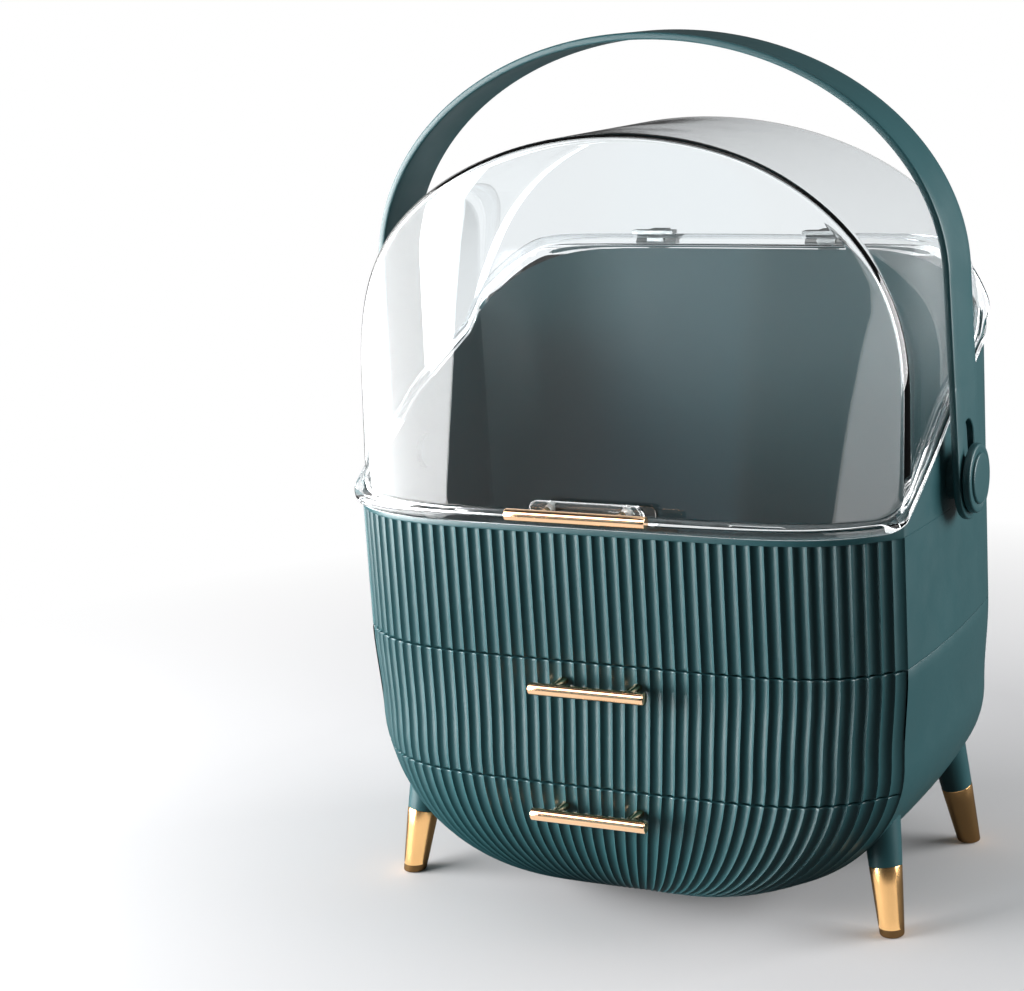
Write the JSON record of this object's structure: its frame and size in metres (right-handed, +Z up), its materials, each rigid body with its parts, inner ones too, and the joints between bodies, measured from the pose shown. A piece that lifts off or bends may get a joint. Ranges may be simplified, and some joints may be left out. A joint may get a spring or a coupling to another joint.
{
  "type": "makeup organizer",
  "caption": "Countertop makeup organizer: ribbed case on tapered legs with stacked drawers, an open tray under a clear domed lid, and an arched carrying handle that tips and slides.",
  "frame": {"origin": "on the ground, under the middle of the part's outer box, pulls and hinges included", "axes": "+X to the viewer's right seen from the front, +Y to the back, +Z up; drawers pull out along -Y"},
  "size_m": [0.3302, 0.2282, 0.4325],
  "materials": {
    "green_plastic": "satin",
    "drawer_plastic": "matt",
    "gold_metal": "polished",
    "clear_plastic": "clear",
    "hinge_steel": "satin",
    "screw_steel": "satin"
  },
  "bodies": {
    "case": {"upper_case": "green_plastic", "lower_case": "green_plastic", "shelf": "drawer_plastic", "case_screws": "screw_steel", "leg_screws": "screw_steel", "handle_spacer_left": "green_plastic", "handle_spacer_right": "green_plastic", "leg_front_left": "green_plastic", "leg_front_right": "green_plastic", "leg_back_left": "green_plastic", "leg_back_right": "green_plastic", "leg_tip_front_left": "gold_metal", "leg_tip_front_right": "gold_metal", "leg_tip_back_left": "gold_metal", "leg_tip_back_right": "gold_metal", "hinge_seat_left": "hinge_steel", "hinge_seat_right": "hinge_steel", "hinge_pin_left": "hinge_steel", "hinge_pin_right": "hinge_steel"},
    "upper_drawer": {"upper_drawer_front": "green_plastic", "upper_drawer_box": "drawer_plastic", "upper_pull_bar": "gold_metal", "upper_pull_posts": "gold_metal", "upper_pull_screws": "screw_steel"},
    "lower_drawer": {"lower_drawer_front": "green_plastic", "lower_drawer_box": "drawer_plastic", "lower_pull_bar": "gold_metal", "lower_pull_posts": "gold_metal", "lower_pull_screws": "screw_steel"},
    "lid": {"lid": "clear_plastic", "lid_pull_bar": "gold_metal", "lid_pull_posts": "gold_metal", "lid_pull_screws": "screw_steel", "hinge_leaf_left": "hinge_steel", "hinge_leaf_right": "hinge_steel"},
    "handle_pivot": {"pivot_bolt_left": "drawer_plastic", "pivot_bolt_right": "drawer_plastic", "slot_bush_left": "green_plastic", "slot_bush_right": "green_plastic", "button_left": "green_plastic", "button_right": "green_plastic"},
    "handle": {"handle": "green_plastic"}
  },
  "joints": [
    {"name": "upper_drawer_slide", "type": "slide", "parent": "case", "child": "upper_drawer", "axis": [0, -1, 0], "range_m": [0, 0.119]},
    {"name": "lower_drawer_slide", "type": "slide", "parent": "case", "child": "lower_drawer", "axis": [0, -1, 0], "range_m": [0, 0.119]},
    {"name": "lid_open", "type": "hinge", "parent": "case", "child": "lid", "pos_m": [0, 0.11056, 0.316], "axis": [-1, 0, 0], "range_deg": [0, 95]},
    {"name": "handle_turn", "type": "hinge", "parent": "case", "child": "handle_pivot", "pos_m": [0, 0.00406, 0.2151], "axis": [-1, 0, 0], "range_deg": [0, 133]},
    {"name": "handle_slide", "type": "slide", "parent": "handle_pivot", "child": "handle", "axis": [0, 0, -1], "range_m": [0, 0.02]}
  ],
  "couplings": [
    {"joint": "handle_turn", "follows": "lid_open", "ratio": 1.4}
  ]
}
